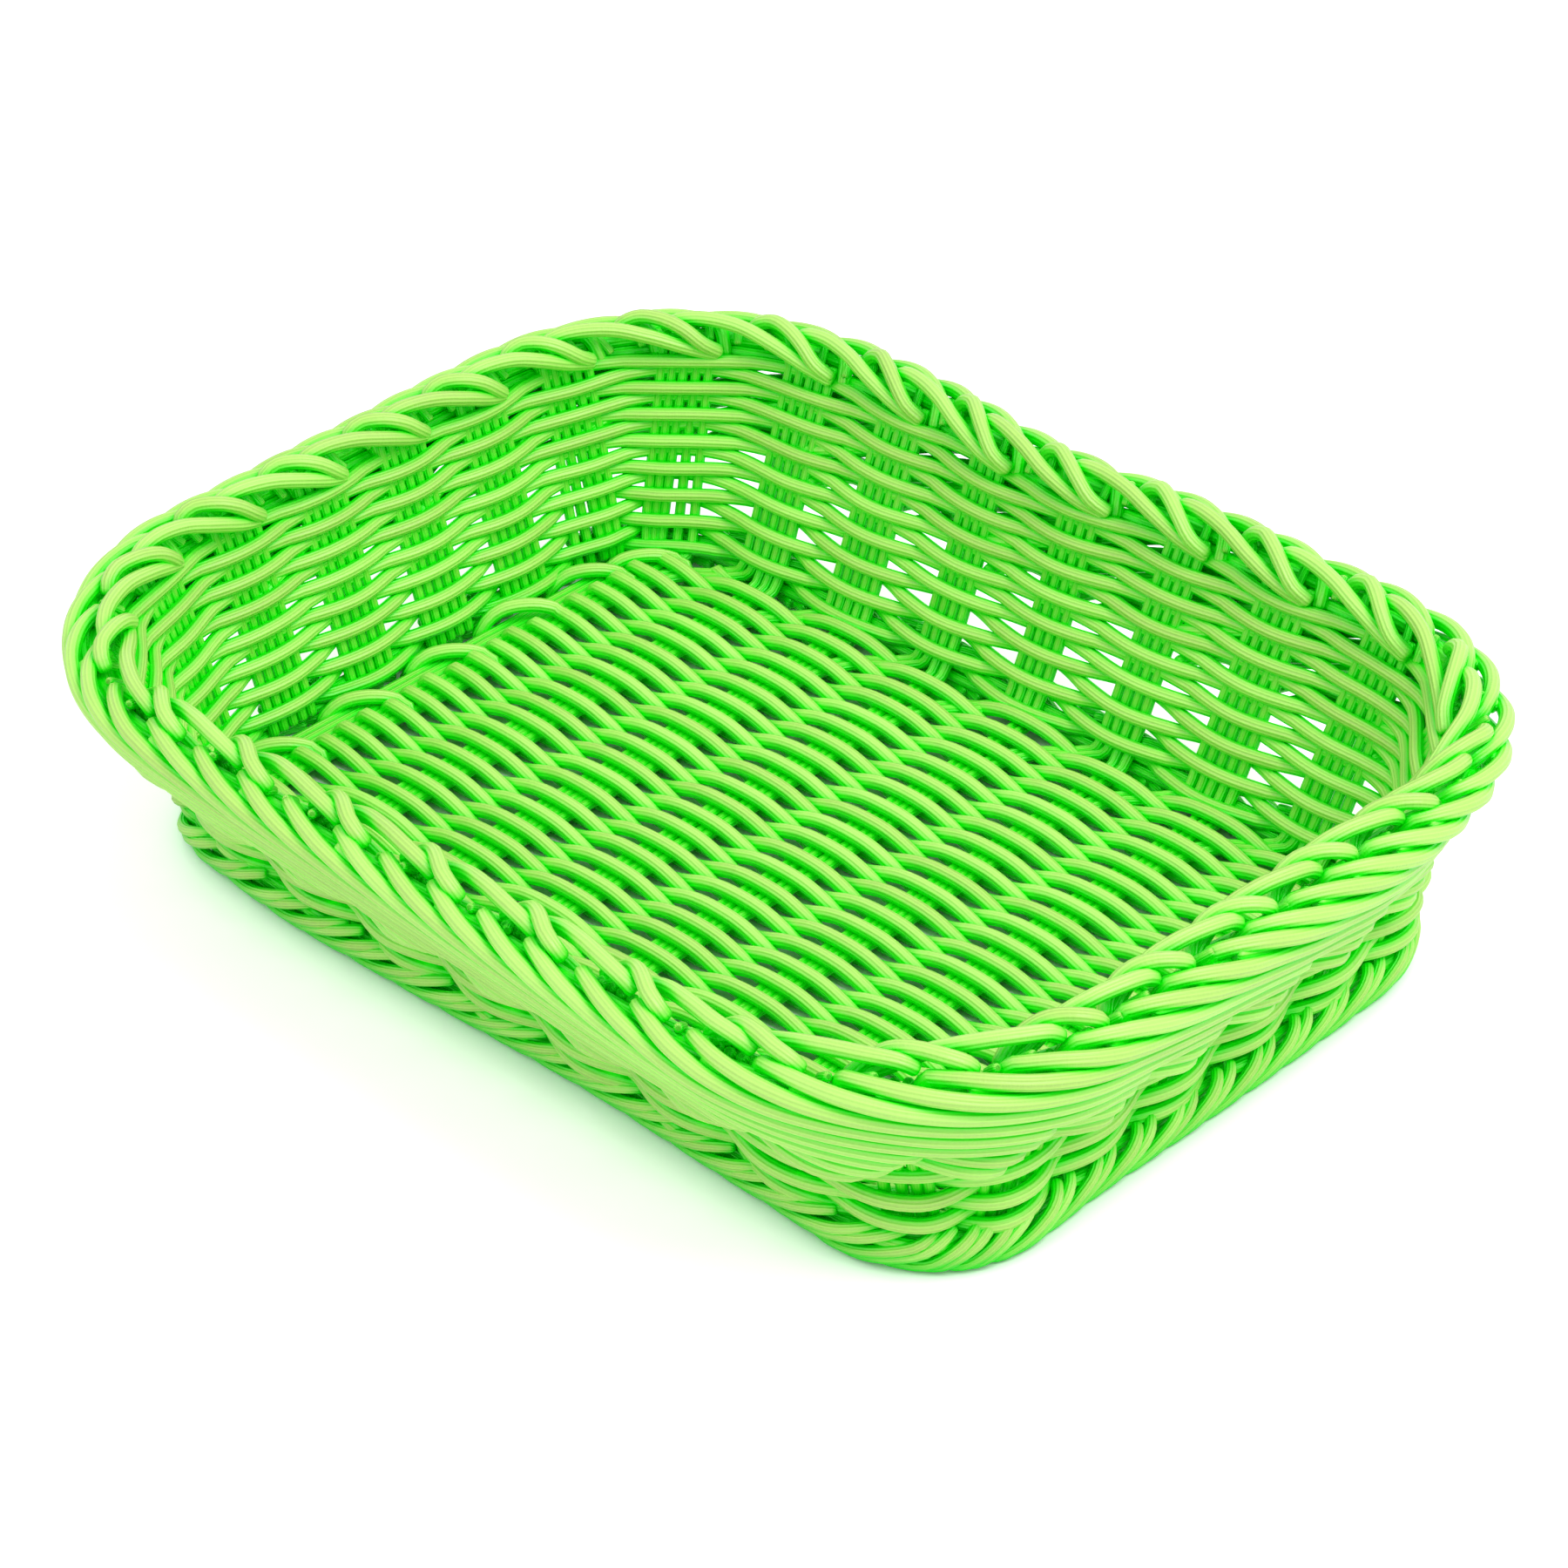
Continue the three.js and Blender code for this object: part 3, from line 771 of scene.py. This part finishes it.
# The outer band's middle surface: travel down from the groove, reach and height
BAND_CURVE = [(-0.003, 0.0032, 0.0786), (0.0, 0.0061, 0.0792), (0.003, 0.0090, 0.0787), (0.006, 0.0115, 0.0771),
              (0.009, 0.0130, 0.0745), (0.012, 0.0134, 0.0715), (0.018, 0.0130, 0.0655), (0.027, 0.0118, 0.0566),
              (0.037, 0.0103, 0.0468), (0.050, 0.0088, 0.0343)]
# A strand of the band starts this far above the groove, then plunges this much within a turn
BAND_TOP = 0.003
BAND_PLUNGE = 0.0055
BAND_PLUNGE_TURN = 0.5
BUNDLE = 4

# A tooth ends this far before its group. Its strands' ends stand TOOTH_STEP turns apart, give or take
# TOOTH_STEP_SWING, most on the long sides, and one above the other from TOOTH_LEVEL down
TOOTH_END = 0.11
TOOTH_STEP, TOOTH_STEP_SWING = 0.13, 0.05
TOOTH_LEVEL = 0.0430
TOOTH_RISE, TOOTH_RISE_SLOPE = 0.0052, 0.0096
TOOTH_RUN_OUT = 0.12

# Where the two upper strands of a bundle start, in turns before their group, and the two points before the
# start: turns before it, how much lower and how much further in
BAND_START, BAND_START_STEP = 2.22, 0.5
START_TURNS, START_DROP, START_IN = (0.09, 0.05), (0.0085, 0.0030), (0.0022, 0.0010)

# The last points of a band strand dive into the wall: turns past its end, how much lower and further in
DIVE_TURNS, DIVE_DROP, DIVE_IN = (0.0, 0.07, 0.11), (0.0006, 0.0012, 0.0016), (0.0016, 0.0052, 0.0095)

# How far down the two lower strands of a bundle lie, by turns before their ends
UNDER_TRAVEL = [
    [(0, 0.0440), (0.5, 0.0402), (1.0, 0.0345), (1.5, 0.0280), (2.05, 0.0212), (2.5, 0.0162), (3.0, 0.0108),
     (3.3, 0.0070)],
    [(0, 0.0393), (0.5, 0.0355), (1.0, 0.0300), (1.5, 0.0232), (2.05, 0.0162), (2.5, 0.0110), (2.9, 0.0060)],
]

# How deep they lie under the bundle before theirs: from UNDER_FROM turns before their ends they sink to
# UNDER_SINK within UNDER_SLOPE_TURNS, and rise again between the two turns of UNDER_RISE
UNDER_SINK = (0.0094, 0.0070)
UNDER_FROM, UNDER_SLOPE_TURNS, UNDER_POWER = 0.18, 0.60, 1.25
UNDER_RISE, UNDER_RISE_SINK = (1.5, 2.2), (0.0094, 0.0042)

# Upper strands sink this much, with a drift of their own
UPPER_SINK, UPPER_DRIFT_KNOTS, UPPER_DRIFT = 0.0003, 6, 0.0004

# Points of the upper and of the lower strands, and how much a strand's start and end, in turns, and its
# height drift
UPPER_POINTS, UNDER_POINTS = 64, 56
START_DRIFT, END_DRIFT, BAND_DRIFT = 0.03, 0.02, 0.0003

BAND_STEP = 0.0026
BORDER_STEP = 0.0024
RING_POINTS = 300

# Reach and height of the closed strands inside the rim, which carry the bundles
RIM_CORE = [(0.0054, 0.0742), (0.0046, 0.0700)]


def closed_turns():
    """Turns of a strand that runs once round the basket."""
    return np.arange(RING_POINTS) * GROUPS / RING_POINTS


def long_side_angle(turn):
    """Half the way round the basket as a full turn of an angle, from the middle of the near long side."""
    return math.pi * (turn - NEAR_MIDDLE_TURN) / (GROUPS / 2)


def band_spot(travel):
    """Reach and height on the band's middle surface, `travel` down from the groove."""
    reach = smooth_value([(s, r) for s, r, _ in BAND_CURVE], travel)
    height = smooth_value([(s, z) for s, _, z in BAND_CURVE], travel)
    return reach, height


def band_strand(sizes, group, place, rng):
    """One strand of the outer band, ending in the tooth of `group`.

    The two upper strands of a bundle start in the groove; the two lower ones lie under the bundle
    before and come out behind its tooth. All four dive into the wall one above the other."""
    step = TOOTH_STEP + TOOTH_STEP_SWING * math.cos(long_side_angle(group) * 2)
    end = group - TOOTH_END + step * (place - (BUNDLE - 1) / 2) + rng.uniform(-END_DRIFT, END_DRIFT)
    level = TOOTH_LEVEL - place * (TOOTH_RISE - TOOTH_RISE_SLOPE * step)
    pieces = []
    if place > 1:
        start = group - (BAND_START + BAND_START_STEP * (BUNDLE - place)) + rng.uniform(-START_DRIFT, START_DRIFT)
        turns = np.linspace(start, end - TOOTH_RUN_OUT, UPPER_POINTS)
        run = turns - start
        descent = (level + BAND_TOP - BAND_PLUNGE) / (end - start)
        travel = descent * run + BAND_PLUNGE * (1 - np.exp(-run / BAND_PLUNGE_TURN)) - BAND_TOP
        sink = wander(rng, len(turns), UPPER_DRIFT_KNOTS, UPPER_DRIFT) + UPPER_SINK
        reach, height = band_spot(travel[:1])
        pieces.append(beside_wall(start - np.array(START_TURNS), height - START_DROP, reach - START_IN))
    else:
        knots = UNDER_TRAVEL[place]
        turns = np.linspace(end - knots[-1][0], end - TOOTH_RUN_OUT, UNDER_POINTS)
        behind = end - turns
        travel = level - knots[0][1] + smooth_value(knots, behind)
        sink = UNDER_SINK[place] * np.clip((behind - UNDER_FROM) / UNDER_SLOPE_TURNS, 0, 1) ** UNDER_POWER
        sink = np.minimum(sink, np.interp(behind, UNDER_RISE, UNDER_RISE_SINK))
    reach, height = band_spot(travel + rng.uniform(-BAND_DRIFT, BAND_DRIFT))
    pieces.append(beside_wall(turns, height, reach - sink))
    last_reach, last_height = band_spot(level)
    pieces.append(beside_wall(end + np.array(DIVE_TURNS), last_height - DIVE_DROP, last_reach - DIVE_IN))
    return strand(smooth_path(np.vstack(pieces), BAND_STEP), sizes.border_thickness, rng)


class BASKET_OT_lay_outer_band(bpy.types.Operator):
    """Lay the rim's outer band, whose strands run slantwise down the outside"""
    bl_idname = "basket.lay_outer_band"
    bl_label = "Lay the Outer Band"

    def execute(self, context):
        sizes, colours = settings(context)
        rng = random.Random(SEEDS["band"])
        strands = [band_strand(sizes, group, place, rng) for group in range(GROUPS) for place in range(BUNDLE)]
        for reach, height in RIM_CORE:
            ring = beside_wall(closed_turns(), height, reach)
            strands.append(strand(ring, sizes.border_thickness, rng, closed=True))
        piece = strands_object("rim_outer_band_strands", strands, strand_material("border_plastic", colours))
        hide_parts("rim_outer_band")
        return {"FINISHED"}


# The two strands of the braid at each group: turns past it, reach and height
LONG_BRAID = [(-0.25, -0.0020, 0.0720), (0.00, -0.0055, 0.0755), (0.30, -0.0072, 0.0800), (0.60, -0.0055, 0.0830),
              (0.88, -0.0030, 0.0836), (1.08, -0.0014, 0.0824), (1.20, -0.0006, 0.0792)]
SHORT_BRAID = [(0.74, -0.0025, 0.0730), (0.88, -0.0066, 0.0772), (1.04, -0.0070, 0.0818), (1.20, -0.0046, 0.0840),
               (1.36, -0.0006, 0.0838), (1.48, 0.0014, 0.0815), (1.53, 0.0020, 0.0784)]
BRAID_DRIFT = 0.03

# Cut ends of stakes that stand in the groove between the braid and the outer band: where in each group, the
# path of one, and how it differs from its neighbours
CUT_END_TURNS = (0.36, 0.62, 0.88)
CUT_END = [(0.00, -0.0006, 0.0735), (0.03, 0.0008, 0.0755), (0.06, 0.0020, 0.0772), (0.09, 0.0032, 0.0786)]
CUT_END_DRIFT, CUT_END_RISE, CUT_END_LEAN = 0.06, (-0.0006, 0.0022), (0.2, 1.6)
CUT_END_SHARE = 0.8
CUT_END_STEP = 0.0014


def cut_end(sizes, turn, rng):
    """A short upright end, a little higher or lower and more or less aslant than its neighbours."""
    turn = turn + rng.uniform(-CUT_END_DRIFT, CUT_END_DRIFT)
    rise = rng.uniform(*CUT_END_RISE)
    lean = rng.uniform(*CUT_END_LEAN)
    control = [beside_wall(turn + along * lean, height + rise, reach) for along, reach, height in CUT_END]
    return strand(smooth_path(control, CUT_END_STEP), sizes.stake_thickness * CUT_END_SHARE, rng)


class BASKET_OT_lay_inner_braid(bpy.types.Operator):
    """Lay the rim's inner braid, two strands to each stake group"""
    bl_idname = "basket.lay_inner_braid"
    bl_label = "Lay the Inner Braid"

    def execute(self, context):
        sizes, colours = settings(context)
        rng = random.Random(SEEDS["braid"])
        strands = []
        for group in range(GROUPS):
            for knots in (LONG_BRAID, SHORT_BRAID):
                shift = rng.uniform(-BRAID_DRIFT, BRAID_DRIFT)
                control = [beside_wall(group + turn + shift, height, reach) for turn, reach, height in knots]
                strands.append(strand(smooth_path(control, BORDER_STEP), sizes.border_thickness, rng))
        rng = random.Random(SEEDS["cut_end"])
        for group in range(GROUPS):
            for turn in CUT_END_TURNS:
                strands.append(cut_end(sizes, group + turn, rng))
        piece = strands_object("rim_inner_braid_strands", strands, strand_material("border_plastic", colours))
        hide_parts("rim_inner_braid")
        return {"FINISHED"}


# Foot

# One strand of the foot: turns past its half group, reach and height
FOOT_CURVE = [(-0.36, 0.0030, 0.0026), (-0.20, 0.0062, 0.0021), (-0.04, 0.0075, 0.0024), (0.10, 0.0080, 0.0042),
              (0.24, 0.0080, 0.0074), (0.37, 0.0074, 0.0106), (0.48, 0.0054, 0.0130), (0.57, 0.0022, 0.0140)]
FOOT_PAIR_STEP = 0.16
FOOT_DRIFT = 0.02

# The strands lie longer along the middle of the long sides: how much, and where that starts and is full,
# in squares of the cosine of the way round
FOOT_STRETCH = 0.45
STRETCH_FROM, STRETCH_RANGE = 0.75, 0.4

# How much further out than its curve the foot runs, by turn
FOOT_LEAN = [(0, 0.0010), (1.5, 0.0022), (3, 0.0010), (5, -0.0014), (6.6, 0.0004), (8.5, 0.0), (10.5, 0.0018),
             (13, 0.0018), (15, 0.0), (19, 0.0), (23, 0.0010), (26.5, 0.0005), (29, 0.0), (30, 0.0010)]

# Reach and height of the closed strands inside the foot
FOOT_CORE = [(0.0030, 0.0058), (0.0022, 0.0098)]


def foot_lean(turn):
    return float(smooth_value(FOOT_LEAN, np.array([turn % GROUPS]))[0])


def foot_stretch(turn):
    along = math.cos(long_side_angle(turn)) ** 2 / STRETCH_RANGE - STRETCH_FROM
    return 1 + FOOT_STRETCH * min(max(along, 0), 1)


class BASKET_OT_lay_foot_border(bpy.types.Operator):
    """Lay the foot border, whose strands lean against those of the rim"""
    bl_idname = "basket.lay_foot_border"
    bl_label = "Lay the Foot Border"

    def execute(self, context):
        sizes, colours = settings(context)
        rng = random.Random(SEEDS["foot"])
        strands = []
        for half_group in range(2 * GROUPS):
            shift = rng.uniform(-FOOT_DRIFT, FOOT_DRIFT)
            stretch = foot_stretch(half_group / 2)
            for place in (0, 1):
                control = []
                for turn, reach, height in FOOT_CURVE:
                    at = half_group / 2 + turn * stretch + shift + place * FOOT_PAIR_STEP
                    control.append(beside_wall(at, height, reach + foot_lean(at)))
                strands.append(strand(smooth_path(control, BORDER_STEP), sizes.foot_thickness, rng))
        lean = smooth_value(FOOT_LEAN, closed_turns())
        for reach, height in FOOT_CORE:
            ring = beside_wall(closed_turns(), height, reach + lean)
            strands.append(strand(ring, sizes.foot_thickness, rng, closed=True))
        piece = strands_object("foot_border_strands", strands, strand_material("border_plastic", colours))
        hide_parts("foot_border")
        return {"FINISHED"}


# Stage

CAMERA_AZIMUTH = math.radians(44.508)
CAMERA_ELEVATION = math.radians(34.093)
CAMERA_ROLL = math.radians(-0.906)
CAMERA_DISTANCE = 1.5721
CAMERA_TARGET = Vector((0, 0, 0.040))
IMAGE_SIZE = 1800
FOCAL_PIXELS = 5996.5
CENTRE_SHIFT = (-7.41, -17.27)
SENSOR_WIDTH = 36

STUDIO_REACH = 6.0

# Painted light: the camera sees the paper glow, by up to PAPER_GLOW as the share of open room within
# PAPER_SHADE_DISTANCE goes from the first to the second of these; the glow lightens the floor and its cast shadow,
# but not close under the basket, where the shade stays darker
PAPER_SHADE_RANGE = (0.15, 0.7)
PAPER_SHADE_DISTANCE = 0.03
PAPER_GLOW = 0.45

# Strength of the sky: as a light, and as the camera and the reflections see it
SKY_LIGHT, SKY_SEEN = 0.75, 1.0

# Each lamp's place, size and power
KEY_LAMP = ((1.2, 0.5, 2.1), 1.6, 30)
FILL_LAMP = ((-0.6, -1.6, 1.9), 2.0, 9)


def studio_material(name, colour):
    """Pale paper with a painted glow that only the camera sees, which lightens it and its cast shadow except close
    under the basket.
    """
    material = bpy.data.materials.new(name)
    material.use_nodes = True
    tree = material.node_tree
    add, link = node_links(tree)
    shader = tree.nodes["Principled BSDF"]
    rays = add("ShaderNodeLightPath")
    nearness = add("ShaderNodeAmbientOcclusion", samples=8)
    nearness.inputs["Distance"].default_value = PAPER_SHADE_DISTANCE
    glow = add("ShaderNodeMapRange", interpolation_type="SMOOTHSTEP")
    glow.inputs["From Min"].default_value, glow.inputs["From Max"].default_value = PAPER_SHADE_RANGE
    glow.inputs["To Max"].default_value = PAPER_GLOW
    seen = add("ShaderNodeMath", operation="MULTIPLY")
    link(nearness.outputs["AO"], glow.inputs["Value"])
    link(glow.outputs["Result"], seen.inputs[0])
    link(rays.outputs["Is Camera Ray"], seen.inputs[1])
    shader.inputs["Emission Color"].default_value = (1, 1, 1, 1)
    link(seen.outputs[0], shader.inputs["Emission Strength"])
    shader.inputs["Base Color"].default_value = (*colour, 1)
    shader.inputs["Roughness"].default_value = 0.9
    shader.inputs["Specular IOR Level"].default_value = 0.1
    return material


def add_lamp(name, place, size, power):
    """A round soft lamp that faces the basket."""
    data = bpy.data.lights.new(name, "AREA")
    data.shape = "DISK"
    data.size = size
    data.energy = power
    lamp = bpy.data.objects.new(name, data)
    lamp.location = place
    lamp.rotation_mode = "QUATERNION"
    lamp.rotation_quaternion = (CAMERA_TARGET - Vector(place)).to_track_quat("-Z", "Y")
    bpy.context.collection.objects.link(lamp)
    return lamp


class BASKET_OT_set_stage(bpy.types.Operator):
    """Set the pale floor, the soft lamps and the camera"""
    bl_idname = "basket.set_stage"
    bl_label = "Set the Stage"

    def execute(self, context):
        colours = context.scene.basket_colours
        floor = bpy.data.meshes.new("studio_floor")
        corners = [(STUDIO_REACH * x, STUDIO_REACH * y, 0) for x, y in ((-1, -1), (1, -1), (1, 1), (-1, 1))]
        floor.from_pydata(corners, [], [(0, 1, 2, 3)])
        floor.materials.append(studio_material("studio_paper", colours.floor))
        ground = bpy.data.objects.new("studio_floor", floor)
        context.collection.objects.link(ground)
        key = add_lamp("key_lamp", *KEY_LAMP)
        fill = add_lamp("fill_lamp", *FILL_LAMP)

        world = bpy.data.worlds.new("studio_world")
        world.use_nodes = True
        add, link = node_links(world.node_tree)
        background = world.node_tree.nodes["Background"]
        rays = add("ShaderNodeLightPath")
        seen = add("ShaderNodeMath", operation="MAXIMUM")
        link(rays.outputs["Is Camera Ray"], seen.inputs[0])
        link(rays.outputs["Is Glossy Ray"], seen.inputs[1])
        level = add("ShaderNodeMapRange")
        level.inputs["To Min"].default_value = SKY_LIGHT
        level.inputs["To Max"].default_value = SKY_SEEN
        link(seen.outputs[0], level.inputs["Value"])
        link(level.outputs[0], background.inputs["Strength"])
        background.inputs["Color"].default_value = (1, 1, 1, 1)
        context.scene.world = world

        data = bpy.data.cameras.new("photo_camera")
        data.sensor_width = SENSOR_WIDTH
        data.lens = FOCAL_PIXELS / IMAGE_SIZE * data.sensor_width
        data.shift_x = -CENTRE_SHIFT[0] / IMAGE_SIZE
        data.shift_y = CENTRE_SHIFT[1] / IMAGE_SIZE
        data.clip_start, data.clip_end = 0.05, 50
        camera = bpy.data.objects.new("photo_camera", data)
        context.collection.objects.link(camera)
        back = Vector((math.sin(CAMERA_AZIMUTH) * math.cos(CAMERA_ELEVATION),
                       -math.cos(CAMERA_AZIMUTH) * math.cos(CAMERA_ELEVATION), math.sin(CAMERA_ELEVATION)))
        right = (-back).cross(Vector((0, 0, 1))).normalized()
        up = right.cross(-back)
        c, s = math.cos(CAMERA_ROLL), math.sin(CAMERA_ROLL)
        turned_right, turned_up = right * c + up * s, up * c - right * s
        matrix = Matrix((turned_right, turned_up, back)).transposed().to_4x4()
        matrix.translation = CAMERA_TARGET + back * CAMERA_DISTANCE
        camera.matrix_world = matrix
        context.scene.camera = camera
        context.scene.view_settings.view_transform = "Standard"
        return {"FINISHED"}


OPERATORS = (
    BASKET_OT_set_stage,
    BASKET_OT_weave_wall,
    BASKET_OT_stand_cross_stakes,
    BASKET_OT_stand_end_stakes,
    BASKET_OT_weave_floor,
    BASKET_OT_lay_outer_band,
    BASKET_OT_lay_inner_braid,
    BASKET_OT_lay_foot_border,
)


class BASKET_PT_panel(bpy.types.Panel):
    """Everything that makes the basket"""
    bl_idname = "BASKET_PT_panel"
    bl_label = "Woven Basket"
    bl_space_type = "VIEW_3D"
    bl_region_type = "UI"
    bl_category = "Basket"

    def draw(self, context):
        for name in ("basket_sizes", "basket_colours"):
            group = getattr(context.scene, name)
            column = self.layout.column()
            for key in group.__annotations__:
                column.prop(group, key)
        for operator in OPERATORS:
            self.layout.operator(operator.bl_idname)


CLASSES = (BasketSizes, BasketColours, *OPERATORS, BASKET_PT_panel)


def register():
    for cls in CLASSES:
        bpy.utils.register_class(cls)
    bpy.types.Scene.basket_sizes = bpy.props.PointerProperty(type=BasketSizes)
    bpy.types.Scene.basket_colours = bpy.props.PointerProperty(type=BasketColours)


def unregister():
    del bpy.types.Scene.basket_colours
    del bpy.types.Scene.basket_sizes
    for cls in reversed(CLASSES):
        bpy.utils.unregister_class(cls)


def main():
    register()
    for operator in OPERATORS:
        space, name = operator.bl_idname.split(".")
        getattr(getattr(bpy.ops, space), name)()


if __name__ == "__main__":
    main()
